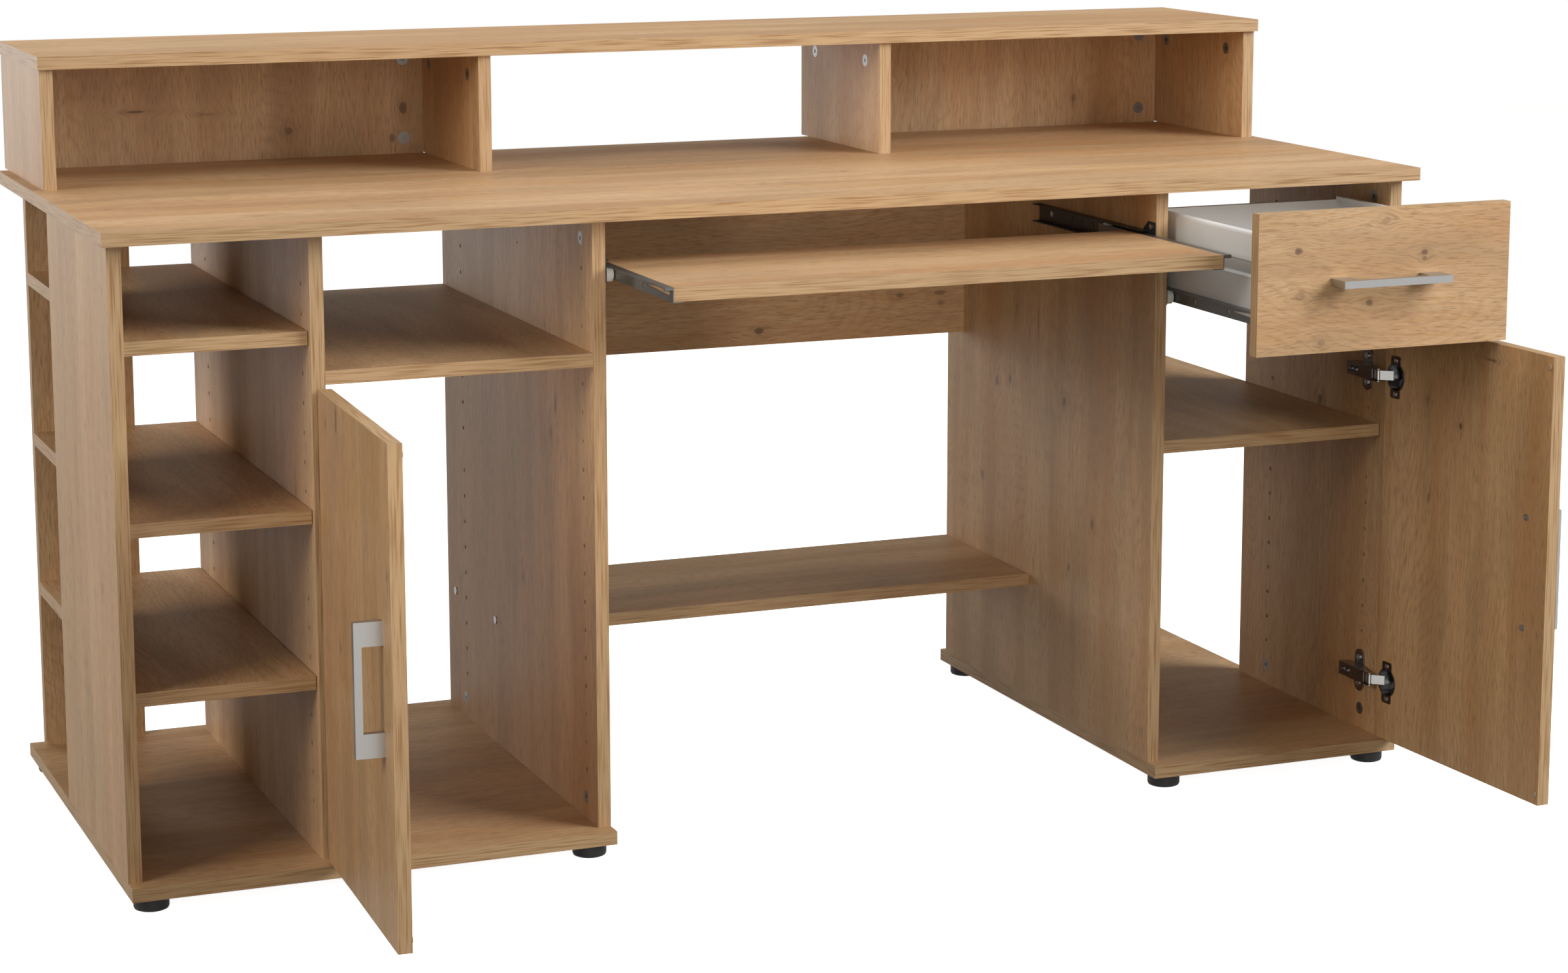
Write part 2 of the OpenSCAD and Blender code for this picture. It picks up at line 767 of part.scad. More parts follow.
module hinge_plate() {
  translate([0, front_line, 0]) difference() {
    union() {
      rotate([0, 90, 0]) linear_extrude(plate_t) difference() {
        union() {
          square([2 * plate_wing - 2 * plate_half_w, 2 * plate_half_w], center = true);
          for (s = [-1, 1]) translate([s * (plate_wing - plate_half_w), 0])
            circle(r = plate_half_w);
        }
        for (s = [-1, 1]) translate([s * line_pitch / 2, 0])
          circle(r = line_hole_d / 2 + fit);
      }
      translate([plate_t, -12, -arm_half + arm_t + 0.7])
        cube([arm_web - arm_t - plate_t - 0.1, 28, 2 * (arm_half - arm_t - 0.7)]);
    }
    translate([plate_t + 3, -13, -3]) cube([arm_web, 30, 6]);
  }
}

module hinge_arm() {
  // The web, with two adjusting screws
  translate([arm_web - arm_t, arm_front, -arm_half])
    cube([arm_t, arm_rear - arm_front, 2 * arm_half]);
  for (y = [arm_rear - 9, front_line + 3]) translate([arm_web, y, 0]) rotate([0, 90, 0])
    difference() {
      cylinder(r = 3.4, h = 1.4);
      translate([-2.6, -0.5, 0.6]) cube([5.2, 1, 1]);
      translate([-0.5, -2.6, 0.6]) cube([1, 5.2, 1]);
    }
  // Two cheeks that run forward to the pin
  for (s = [0, 1]) translate([0, 0, s == 0 ? -arm_half : arm_half - arm_t])
    linear_extrude(arm_t) {
      polygon([[plate_t + 0.5, arm_rear - 4], [plate_t + 0.5, front_line - 14],
        [arm_web - 2 * arm_nose, arm_front], [arm_web - 2 * arm_nose, link_pin[1]],
        [arm_web, link_pin[1]], [arm_web, arm_rear], [arm_web - 4, arm_rear]]);
      translate(link_pin) circle(r = arm_nose);
    }
  translate([link_pin[0], link_pin[1], -arm_half]) cylinder(r = pin_r, h = 2 * arm_half);
}

// The link's own frame has its pin at the origin and its tip along +X
module hinge_link() {
  translate([0, 0, -link_h / 2]) linear_extrude(link_h) difference() {
    union() {
      circle(r = 2.2);
      translate([0, -link_t / 2]) square([link_l - link_t / 2, link_t]);
      translate([link_l - link_t / 2, 0]) circle(r = link_t / 2);
      rotate(-link_tail_turn) {
        translate([0, -link_t / 2]) square([link_tail - link_t / 2, link_t]);
        translate([link_tail - link_t / 2, 0]) circle(r = link_t / 2);
      }
    }
    circle(r = pin_r + fit);
  }
}

module hinge_links(hand, open) {
  color(steel_white) in_frame() at_hinges(hand) translate([link_pin[0], link_pin[1], 0])
    rotate([0, 0, link_closed + link_ratio * open]) hinge_link();
}

module left_hinge_links() {
  hinge_links(1, left_open);
}

module right_hinge_links() {
  hinge_links(-1, right_open);
}

module hinge_plates() {
  color(nickel) in_frame() for (hand = [1, -1]) at_hinges(hand) hinge_plate();
}

module hinge_arms() {
  color(nickel) in_frame() for (hand = [1, -1]) at_hinges(hand) hinge_arm();
}

// Door frame: the pivot at the origin, the closed door along +X, its outer face towards -Y
module on_door(hand, open) {
  translate([hand > 0 ? left_pivot_x : right_pivot_x, pivot_y, 0])
    mirror([hand > 0 ? 0 : 1, 0, 0]) rotate([0, 0, -open]) children();
}

cup_x = cup_inset - pivot_in;
door_out = pivot_back - board_t;
handle_x = free_edge - handle_inset;
bumper_x = free_edge - 6;
bumper_inset = 12;
bumper_zs = [door_z + bumper_inset, door_z + door_h - bumper_inset];

module cup_screw_places() {
  for (z = hinge_z) for (s = [-1, 1]) translate([cup_x, pivot_back, z + s * cup_screw_z])
    rotate([90, 0, 0]) children();
}

module handle_screw_places() {
  for (s = [-1, 1]) translate([handle_x, door_out, door_handle_z + s * handle_pitch / 2])
    rotate([-90, 0, 0]) children();
}

module door() {
  difference() {
    board([-pivot_in, door_out, door_z], [door_w, board_t, door_h]);
    for (z = hinge_z) translate([cup_x, pivot_back + cut, z]) rotate([90, 0, 0])
      cylinder(r = cup_d / 2 + fit, h = cup_depth + fit + cut);
    cup_screw_places() translate([0, 0, -cut]) cylinder(r = 1.6, h = 11, $fn = 24);
    handle_screw_places() translate([0, 0, -cut])
      cylinder(r = 2.25, h = board_t + 2 * cut, $fn = 24);
  }
}

module left_door() {
  color(oak) in_frame() on_door(1, left_open) door();
}

module right_door() {
  color(oak) in_frame() on_door(-1, right_open) door();
}

// Handle frame: its middle at the origin, its length along +X, its reach along -Y
module handle() {
  difference() {
    union() {
      board([-handle_l / 2, -handle_reach, -handle_bar / 2],
        [handle_l, handle_bar_t, handle_bar]);
      for (x = [-handle_l / 2, handle_l / 2 - handle_leg])
        board([x, -handle_side - cut, -handle_bar / 2],
          [handle_leg, handle_side + cut, handle_bar]);
    }
    for (s = [-1, 1]) translate([s * handle_pitch / 2, cut, 0]) rotate([90, 0, 0])
      cylinder(r = 2 + fit, h = 12 + cut, $fn = 24);
  }
}

module door_handle() {
  translate([handle_x, door_out, door_handle_z]) rotate([0, 90, 0]) handle();
}

module left_door_handle() {
  color(nickel) in_frame() on_door(1, left_open) door_handle();
}

module right_door_handle() {
  color(nickel) in_frame() on_door(-1, right_open) door_handle();
}

// Machine screw whose own frame has the front board's outer face at z = 0, head inside
module handle_screw() {
  translate([0, 0, -11]) cylinder(r = 2, h = board_t + 11, $fn = 24);
  difference() {
    translate([0, 0, board_t]) cylinder(r = 4, h = 1.6);
    for (a = [0, 90]) rotate([0, 0, a]) translate([-2, -0.5, board_t + 0.8])
      cube([4, 1, 1]);
  }
}

module cup_screw() {
  difference() {
    union() {
      translate([0, 0, -cup_flange_t - 0.8]) cylinder(r = 2.9, h = 0.8);
      translate([0, 0, -cup_flange_t]) cylinder(r = 1.5, h = 10, $fn = 24);
    }
    for (a = [0, 90]) rotate([0, 0, a])
      translate([-1.6, -0.4, -cup_flange_t - 0.8 - cut]) cube([3.2, 0.8, 0.5]);
  }
}

module door_screws() {
  cup_screw_places() cup_screw();
  handle_screw_places() handle_screw();
}

module left_door_screws() {
  color(nickel) in_frame() on_door(1, left_open) door_screws();
}

module right_door_screws() {
  color(nickel) in_frame() on_door(-1, right_open) door_screws();
}

module hinge_cups() {
  for (z = hinge_z) translate([cup_x, pivot_back, z]) rotate([90, 0, 0]) difference() {
    union() {
      cylinder(r = cup_d / 2, h = cup_depth);
      translate([0, 0, -cup_flange_t]) linear_extrude(cup_flange_t) difference() {
        union() {
          circle(r = cup_d / 2);
          square([cup_flange_w - 2 * cup_flange_round, cup_flange_h], center = true);
          square([cup_flange_w, cup_flange_h - 2 * cup_flange_round], center = true);
          for (sx = [-1, 1]) for (sy = [-1, 1])
            translate([sx * (cup_flange_w / 2 - cup_flange_round),
              sy * (cup_flange_h / 2 - cup_flange_round)]) circle(r = cup_flange_round);
        }
        translate([-cup_notch, -link_h / 2 - 1]) square([cup_notch, link_h + 2]);
      }
    }
    translate([0, 0, -cup_flange_t - cut])
      cylinder(r = cup_d / 2 - cup_wall, h = cup_depth - 1 + cup_flange_t + cut);
    for (s = [-1, 1]) translate([0, s * cup_screw_z, -cup_flange_t - cut])
      cylinder(r = 1.6, h = cup_flange_t + 2 * cut, $fn = 24);
  }
}

module left_hinge_cups() {
  color(nickel) in_frame() on_door(1, left_open) hinge_cups();
}

module right_hinge_cups() {
  color(nickel) in_frame() on_door(-1, right_open) hinge_cups();
}

module door_bumpers() {
  for (z = bumper_zs) translate([bumper_x, pivot_back, z]) rotate([-90, 0, 0])
    rotate_extrude() polygon([[0, 0], [4, 0], [4, 0.7], [3.2, 1.3], [1.8, 1.6], [0, 1.6]]);
}

module left_door_bumpers() {
  color(steel_white) in_frame() on_door(1, left_open) door_bumpers();
}

module right_door_bumpers() {
  color(steel_white) in_frame() on_door(-1, right_open) door_bumpers();
}

// Runners. The rail's frame has X out of the panel, Y back from the rail's front end and
// Z up from the front roller's axle.
module rail() {
  difference() {
    union() {
      translate([0, 0, rail_low]) cube([runner_sheet, runner_l, rail_high - rail_low]);
      rotate([90, 0, 90]) linear_extrude(runner_sheet) polygon([[0, rail_low],
        [0, rail_plate_up - 2], [2, rail_plate_up], [rail_plate_l * 0.6, rail_plate_up],
        [rail_plate_l, rail_high], [rail_plate_l, rail_low]]);
      for (z = [rail_low, rail_high - runner_sheet]) translate([0, flange_start, z])
        cube([runner_gap - 1.5, runner_l - flange_start, runner_sheet]);
      translate([0, front_roller_y - rail_y, 0]) rotate([0, 90, 0])
        cylinder(r = axle_r, h = axle_l + runner_sheet);
    }
    rail_screw_places() translate([0, 0, -cut])
      cylinder(r = line_hole_d / 2 + fit, h = runner_sheet + 2 * cut, $fn = 24);
    for (share = rail_slots) translate([-cut, share * runner_l, 0])
      cube([runner_sheet + 2 * cut, 3, 7]);
  }
}

module rail_screw_places() {
  for (p = [[side_line - rail_y, rail_screw_up], rail_front_screw])
    translate([0, p[0], p[1]]) rotate([0, 90, 0]) children();
}

module rail_screw() {
  translate([0, 0, -line_depth + 0.5])
    cylinder(r = line_hole_d / 2 - fit, h = line_depth + runner_sheet - 0.5, $fn = 24);
  difference() {
    translate([0, 0, runner_sheet]) cylinder(r = 3.5, h = 1);
    for (a = [0, 90]) rotate([0, 0, a]) translate([-2, -0.5, runner_sheet + 0.5])
      cube([4, 1, 1]);
  }
}

// Places for rails and their screws: on the panel faces beside the tray and the drawer
module at_tray_rails() {
  translate([knee_left_x + board_t, rail_y, tray_roller_z]) children();
  translate([knee_right_x, rail_y, tray_roller_z]) mirror([1, 0, 0]) children();
}

module at_drawer_rails() {
  translate([knee_right_x + board_t, rail_y, drawer_roller_z]) children();
  translate([right_x, rail_y, drawer_roller_z]) mirror([1, 0, 0]) children();
}

module tray_cabinet_rails() {
  color(steel_dark) in_frame() at_tray_rails() rail();
}

module drawer_cabinet_rails() {
  color(steel_dark) in_frame() at_drawer_rails() rail();
}

// The runner's frame has X from its panel's face, Y back from its front end and Z up from
// the front roller's axle; lip_l is the length of the lip under the carried board.
module runner(lip_l, nose) {
  low = flange_top - board_t - runner_sheet;
  web_x = runner_gap - runner_sheet;
  difference() {
    union() {
      translate([web_x, 0, low]) cube([runner_sheet, runner_l, flange_top - low]);
      translate([web_x, 0, low]) cube([11, lip_l, runner_sheet]);
      translate([runner_gap - 10, 0, flange_top - runner_sheet])
        cube([10, runner_l - 26, runner_sheet]);
      translate([web_x - axle_l + 1, runner_l - rear_roller_back, rear_roller_up])
        rotate([0, 90, 0]) cylinder(r = axle_r, h = axle_l);
      if (nose) translate([runner_gap - 10, 2, flange_top - 2]) rotate([0, 90, 0])
        cylinder(r = 2, h = 10);
    }
    for (share = runner_holes) translate([web_x - cut, share * runner_l, 1]) rotate([0, 90, 0])
      cylinder(r = 2.6, h = runner_sheet + 2 * cut, $fn = 24);
    translate([web_x - cut, 0, 0]) rotate([90, 0, 90])
      linear_extrude(runner_sheet + 2 * cut)
        polygon([[10, 0.4], [80, 2.2], [80, 3.2], [10, 7.6]]);
  }
}

module at_tray() {
  translate([knee_left_x + board_t, -tray_out, tray_roller_z]) children();
  translate([knee_right_x, -tray_out, tray_roller_z]) mirror([1, 0, 0]) children();
}

module at_drawer() {
  translate([knee_right_x + board_t, drawer_y, drawer_roller_z]) children();
  translate([right_x, drawer_y, drawer_roller_z]) mirror([1, 0, 0]) children();
}

module tray_runners() {
  color(steel_dark) in_frame() at_tray() runner(tray_d, true);
}

module drawer_runners() {
  color(steel_dark) in_frame() at_drawer() runner(runner_l, false);
}

module roller() {
  rotate([0, 90, 0]) rotate_extrude() polygon([[axle_r + fit, 0], [roller_r - 0.6, 0],
    [roller_r, 0.6], [roller_r, roller_w - 0.6], [roller_r - 0.6, roller_w],
    [axle_r + fit, roller_w]]);
}

module tray_front_rollers() {
  color(steel_white) in_frame() at_tray_rails()
    translate([runner_sheet + 1, front_roller_y - rail_y, 0]) roller();
}

module drawer_front_rollers() {
  color(steel_white) in_frame() at_drawer_rails()
    translate([runner_sheet + 1, front_roller_y - rail_y, 0]) roller();
}

module rear_roller() {
  translate([runner_gap - runner_sheet - 0.6 - roller_w, runner_l - rear_roller_back,
    rear_roller_up]) roller();
}

module tray_rear_rollers() {
  color(steel_white) in_frame() at_tray() rear_roller();
}

module drawer_rear_rollers() {
  color(steel_white) in_frame() at_drawer() rear_roller();
}

module tray_board() {
  color(oak) in_frame() board([knee_left_x + board_t + runner_gap, -tray_out,
    tray_top - board_t], [tray_w, tray_d, board_t]);
}

// Drawer
module drawer_front() {
  color(oak) in_frame() difference() {
    board([knee_right_x + reveal_free, front_out - drawer_out, drawer_z],
      [door_w, board_t, drawer_front_h]);
    drawer_screw_places() translate([0, 0, -cut])
      cylinder(r = 2.25, h = board_t + 2 * cut, $fn = 24);
  }
}

drawer_mid_x = knee_right_x + reveal_free + door_w / 2;
drawer_mid_z = drawer_z + drawer_front_h / 2;

module drawer_screw_places() {
  for (s = [-1, 1]) translate([drawer_mid_x + s * handle_pitch / 2,
    front_out - drawer_out, drawer_mid_z]) rotate([-90, 0, 0]) children();
}

module drawer_handle() {
  color(nickel) in_frame() translate([drawer_mid_x, front_out - drawer_out, drawer_mid_z])
    handle();
}

module drawer_screws() {
  color(nickel) in_frame() drawer_screw_places() handle_screw();
}

// Steel side: one folded sheet, drawn from its outer face inwards
back_rim = 8;
side_rim = 9;
side_lip = 6;
groove_z0 = 36;
groove_z1 = 54;

module side_profile() {
  t = side_sheet;
  h = drawer_side_h;
  g = groove_in;
  polygon([[0, 0], [0, groove_z0], [g, groove_z0 + 2.5], [g, groove_z1 - 2.5],
    [0, groove_z1], [0, h - 3], [0.8, h - 0.9], [3, h], [side_rim, h],
    [side_rim, h - side_lip], [side_rim - t, h - side_lip], [side_rim - t, h - t],
    [3.4, h - t], [1.8, h - 2], [t, h - 3.6], [t, groove_z1 + 0.6],
    [g + t, groove_z1 - 1.9], [g + t, groove_z0 + 1.9], [t, groove_z0 - 0.6], [t, t],
    [12, t], [12, 0]]);
}

module drawer_side() {
  side_l = drawer_l - back_rim;
  translate([drawer_x, drawer_y, drawer_floor]) rotate([90, 0, 0])
    translate([0, 0, -side_l]) linear_extrude(side_l) side_profile();
}

module drawer_left_side() {
  color(steel_white) in_frame() drawer_side();
}

module drawer_right_side() {
  color(steel_white) in_frame() translate([2 * drawer_x + drawer_w, 0, 0])
    mirror([1, 0, 0]) drawer_side();
}

// Steel back: a folded sheet that closes the ends of the two sides
module drawer_back() {
  t = side_sheet;
  color(steel_white) in_frame()
    translate([drawer_x, drawer_y + drawer_l - back_rim, drawer_floor])
    rotate([90, 0, 90]) linear_extrude(drawer_w) polygon([[0, 0], [0, drawer_back_h],
      [back_rim, drawer_back_h], [back_rim, drawer_back_h - t], [t, drawer_back_h - t],
      [t, t], [back_rim, t], [back_rim, 0]]);
}

module drawer_bottom() {
  color(steel_white) in_frame() board([drawer_x, drawer_y, drawer_floor - board_t],
    [drawer_w, drawer_l, board_t]);
}

// Screws of the carcass: hinge plates, rails and footrest shelf
confirmat_r = 2.5;
confirmat_l = 50;
footrest_screw_front = 52;
footrest_screw_rear = 32;
footrest_screw_ys = [footrest_y + footrest_screw_front, panel_rear - footrest_screw_rear];

module plate_screw() {
  translate([-line_depth + 0.5, 0, 0]) rotate([0, 90, 0])
    cylinder(r = line_hole_d / 2 - fit, h = line_depth + plate_t - 0.5, $fn = 24);
  difference() {
    translate([plate_t, 0, 0]) rotate([0, 90, 0]) cylinder(r = 4, h = 1.6);
    for (s = [[4.6, 1], [1, 4.6]]) translate([plate_t + 0.8, -s[0] / 2, -s[1] / 2])
      cube([1, s[0], s[1]]);
  }
}

module confirmat() {
  translate([-1, 0, 0]) rotate([0, 90, 0]) cylinder(r = 5, h = 1);
  rotate([0, 90, 0]) cylinder(r = confirmat_r, h = confirmat_l - 1, $fn = 24);
}

module carcass_screws() {
  color(nickel) in_frame() {
    for (hand = [1, -1]) at_hinges(hand) for (s = [-1, 1])
      translate([0, front_line, s * line_pitch / 2]) plate_screw();
    at_drawer_rails() rail_screw_places() rail_screw();
    at_tray_rails() rail_screw_places() rail_screw();
    for (y = footrest_screw_ys) {
      translate([knee_left_x, y, footrest_h - board_t / 2]) confirmat();
      translate([knee_right_x + board_t, y, footrest_h - board_t / 2]) mirror([1, 0, 0])
        confirmat();
    }
  }
}

worktop();
left_base_plate();
right_base_plate();
left_side_panel();
left_divider();
left_knee_panel();
right_knee_panel();
right_side_panel();
left_rear_board();
right_rear_board();
left_top_shelf();
left_middle_shelf();
left_bottom_shelf();
cabinet_fixed_shelf();
cabinet_adjustable_shelf();
modesty_panel();
footrest_shelf();
hutch_top();
hutch_left_side();
hutch_left_divider();
hutch_right_divider();
hutch_right_side();
hutch_left_back();
hutch_right_back();
feet();
shelf_pins();
cam_discs();
cam_bolts();
dowels();
hinge_plates();
hinge_arms();
drawer_cabinet_rails();
tray_cabinet_rails();
carcass_screws();
left_door();
left_door_handle();
left_hinge_cups();
left_door_screws();
left_door_bumpers();
left_hinge_links();
right_door();
right_door_handle();
right_hinge_cups();
right_door_screws();
right_door_bumpers();
right_hinge_links();
drawer_front();
drawer_left_side();
drawer_right_side();
drawer_back();
drawer_bottom();
drawer_handle();
drawer_runners();
drawer_screws();
tray_board();
tray_runners();
drawer_front_rollers();
drawer_rear_rollers();
tray_front_rollers();
tray_rear_rollers();
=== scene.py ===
# Computer desk in light oak decor: the boards and fittings of the frame with their finishes,
# a pale floor, soft light and the camera. Places are in metres, patterns in millimetres.
import json
import math
import bmesh
import bpy
from mathutils import Matrix, Vector

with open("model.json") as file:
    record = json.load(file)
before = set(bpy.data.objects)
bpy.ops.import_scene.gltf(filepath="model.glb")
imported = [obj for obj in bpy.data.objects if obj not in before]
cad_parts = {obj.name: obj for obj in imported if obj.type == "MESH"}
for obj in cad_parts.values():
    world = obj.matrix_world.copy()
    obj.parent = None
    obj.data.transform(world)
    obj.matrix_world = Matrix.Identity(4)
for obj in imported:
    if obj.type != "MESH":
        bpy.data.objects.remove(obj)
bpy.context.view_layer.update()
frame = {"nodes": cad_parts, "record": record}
nodes = frame["nodes"]
record = frame["record"]


def paint(code):  # sRGB hex to linear
    parts = [int(code[i:i + 2], 16) / 255 for i in (1, 3, 5)]
    return [p / 12.92 if p <= 0.04045 else ((p + 0.055) / 1.055) ** 2.4 for p in parts] + [1.0]


def addNode(tree, kind, sockets=(), **settings):
    # sockets: a list in the order of the inputs in use, or a dict by name. A node stands for its
    # first output in use.
    node = tree.nodes.new("ShaderNode" + kind)
    for key, value in settings.items():
        setattr(node, key, value)
    inputs = node.inputs
    if not isinstance(sockets, dict):
        inputs = [socket for socket in node.inputs if socket.enabled]
        sockets = dict(enumerate(sockets))
    for key, value in sockets.items():
        if isinstance(value, bpy.types.Node):
            value = next(socket for socket in value.outputs if socket.enabled)
        if isinstance(value, bpy.types.NodeSocket):
            tree.links.new(value, inputs[key])
        else:
            inputs[key].default_value = value
    return node


def emptyTree(owner):
    owner.use_nodes = True
    owner.node_tree.nodes.clear()
    return owner.node_tree


def dress(name, material):
    for materialSlot in nodes[name].material_slots:
        materialSlot.material = material


# Light oak decor: printed paper under melamine resin, pressed onto chipboard. It is satin and
# nearly smooth, and shows planks of different tone, streaks, growth rings, pores and knots.
oak = {
    "light": "#d4b28a", "honey": "#c59c6b", "warm": "#b68656", "grey": "#a98b66", "dark": "#7d5733",
    "plankWidth": 110, "ringWidth": 7, "ringSway": 260.0,
    "bend": 46, "bendScale": (0.006, 0.0024, 1),  # how far the grain wanders, and how often per mm
    "sideStep": 3.7, "cutStep": 1.37,  # from one face or one board to the next in the print
    "patternRoughness": 0.55, "roughness": 0.5, "poreBump": 0.12, "poreDepth": 0.0002,
}
# Patterns of the print: size across and along the grain, detail, and place in the noise
oakPatterns = {
    "band": (70, 900, 2.0, 0.0),
    "patch": (49, 315, 2.0, 9.1),
    "streak": (3, 120, 3.0, 3.3),
    "pore": (1.0, 18, 2.0, 5.1),  # real pores are 0.3 wide, too fine to show
    "ring": (112, 405, 1.0, 7.7),
}
# Layers of the print, each over the last: where its pattern starts and ends, strength and tone
oakLayers = {
    "streak": (0.22, 0.8, 1.0, "honey"),
    "band": (0.38, 0.7, 0.7, "warm"),
    "patch": (0.42, 0.74, 0.62, "grey"),
    "plank": (0.0, 1.0, 0.16, "dark"),
    "ring": (0.3, 1.0, 0.13, "dark"),
    "pore": (0.5, 0.68, 0.5, "dark"),
}
# Knots: how far they push the grain, their ragged rim, their core, and the shade round them
knot = {
    "tone": "#43281a", "push": 0.75, "pushFade": 0.12, "rimScale": 0.06, "ragged": 2.4,
    "rim": 1.25, "core": 0.15, "shadeReach": 9.0, "shade": 0.12,
}
# Edge band: a thin strip of the same print glued round the boards, with lines along the edge
edgeBand = {
    "light": "#bb9b73", "dark": "#967045", "lineWidth": 1.7, "lineLength": 70,
    "lineStart": 0.42, "lineEnd": 0.72,
}


def knotNodes(tree, place, flat, widthwise, knots):
    # Knots push the grain aside and are dark at their middle
    noise = addNode(tree, "TexNoise", {"Vector": place, "Scale": knot["rimScale"], "Detail": 3.0})
    ragged = addNode(tree, "Math", [noise, knot["ragged"], -knot["ragged"] / 2],
                     operation="MULTIPLY_ADD")
    flow, darkness = widthwise, 0.0
    for across, along, width, length, strength in knots:
        spot = addNode(tree, "Mapping", {"Vector": flat, "Location": (across, along, 0),
                                         "Scale": (width, length, 1)}, vector_type="TEXTURE")
        reach = addNode(tree, "VectorMath", [spot, spot], operation="DOT_PRODUCT")
        fade = addNode(tree, "Math", [reach, -knot["pushFade"]], operation="MULTIPLY")
        near = addNode(tree, "Math", [math.e, fade], operation="POWER")
        offset = addNode(tree, "Math", [widthwise, across], operation="SUBTRACT")
        push = addNode(tree, "Math", [offset, near], operation="MULTIPLY")
        flow = addNode(tree, "Math", [push, -knot["push"], flow], operation="MULTIPLY_ADD")
        rim = addNode(tree, "Math", [reach, ragged], operation="ADD")
        core = addNode(tree, "MapRange", [rim, knot["rim"], knot["core"], 0.0, strength],
                       interpolation_type="SMOOTHSTEP")
        shade = addNode(tree, "MapRange", [reach, knot["shadeReach"], 0.0, 0.0, knot["shade"]],
                        interpolation_type="SMOOTHSTEP")
        both = addNode(tree, "Math", [core, shade], operation="MAXIMUM")
        darkness = addNode(tree, "Math", [both, darkness], operation="MAXIMUM")
    return flow, darkness


def printNodes(tree, flat, flow, lengthwise, side, cut):
    # The grain wanders, and each board and each of its faces has its own cut of the print
    bendPlace = addNode(tree, "Mapping", {"Vector": flat, "Location": (0, 0, cut),
                                          "Scale": oak["bendScale"]})
    bend = addNode(tree, "TexNoise", {"Vector": bendPlace, "Scale": 1.0, "Detail": 2.0})
    wander = addNode(tree, "Math", [bend, oak["bend"], -oak["bend"] / 2], operation="MULTIPLY_ADD")
    bent = addNode(tree, "Math", [flow, wander], operation="ADD")
    shift = addNode(tree, "Math", [side, oak["sideStep"], cut * oak["cutStep"]],
                    operation="MULTIPLY_ADD")
    grainPlace = addNode(tree, "CombineXYZ", [bent, lengthwise, shift])
    pattern = {}
    for name, (width, length, detail, away) in oakPatterns.items():
        scaled = addNode(tree, "Mapping", {"Vector": grainPlace, "Location": (0, 0, away),
                                           "Scale": (1 / width, 1 / length, 1)})
        pattern[name] = addNode(tree, "TexNoise", {"Vector": scaled, "Scale": 1.0, "Detail": detail,
                                                   "Roughness": oak["patternRoughness"]})

    # The growth rings are waves across the grain, and each plank has one tone
    ringPath = addNode(tree, "Math", [pattern["ring"], oak["ringSway"], bent],
                       operation="MULTIPLY_ADD")
    ringTurn = addNode(tree, "Math", [ringPath, 2 * math.pi / oak["ringWidth"]],
                       operation="MULTIPLY")
    pattern["ring"] = addNode(tree, "Math", [ringTurn], operation="SINE")
    plankPlace = addNode(tree, "Math", [bent, 1 / oak["plankWidth"], shift],
                         operation="MULTIPLY_ADD")
    plankNumber = addNode(tree, "Math", [plankPlace], operation="FLOOR")
    pattern["plank"] = addNode(tree, "TexWhiteNoise", [plankNumber], noise_dimensions="1D")

    colour = paint(oak["light"])
    for name, (low, high, strength, tone) in oakLayers.items():
        share = addNode(tree, "MapRange", [pattern[name], low, high, 0.0, strength],
                        interpolation_type="SMOOTHSTEP")
        colour = addNode(tree, "Mix", [share, colour, paint(oak[tone])], data_type="RGBA")
    return colour, pattern["pore"]


def edgeNodes(tree, place, normal, face, through, cut):
    # The edge band's lines run along the edge, across both the normal and the board's thickness
    thickness = [1.0 if axis == face else 0.0 for axis in "XYZ"]
    along = addNode(tree, "VectorMath", [normal, thickness], operation="CROSS_PRODUCT")
    run = addNode(tree, "VectorMath", [place, along], operation="DOT_PRODUCT")
    edgePlace = addNode(tree, "CombineXYZ", [through, run, cut])
    scaled = addNode(tree, "Mapping", {"Vector": edgePlace, "Scale": (
        1 / edgeBand["lineWidth"], 1 / edgeBand["lineLength"], 1)})
    lines = addNode(tree, "TexNoise", {"Vector": scaled, "Scale": 1.0, "Detail": 2.0})
    share = addNode(tree, "MapRange", [lines, edgeBand["lineStart"], edgeBand["lineEnd"]],
                    interpolation_type="SMOOTHSTEP")
    return addNode(tree, "Mix", [share, paint(edgeBand["light"]), paint(edgeBand["dark"])],
                   data_type="RGBA")


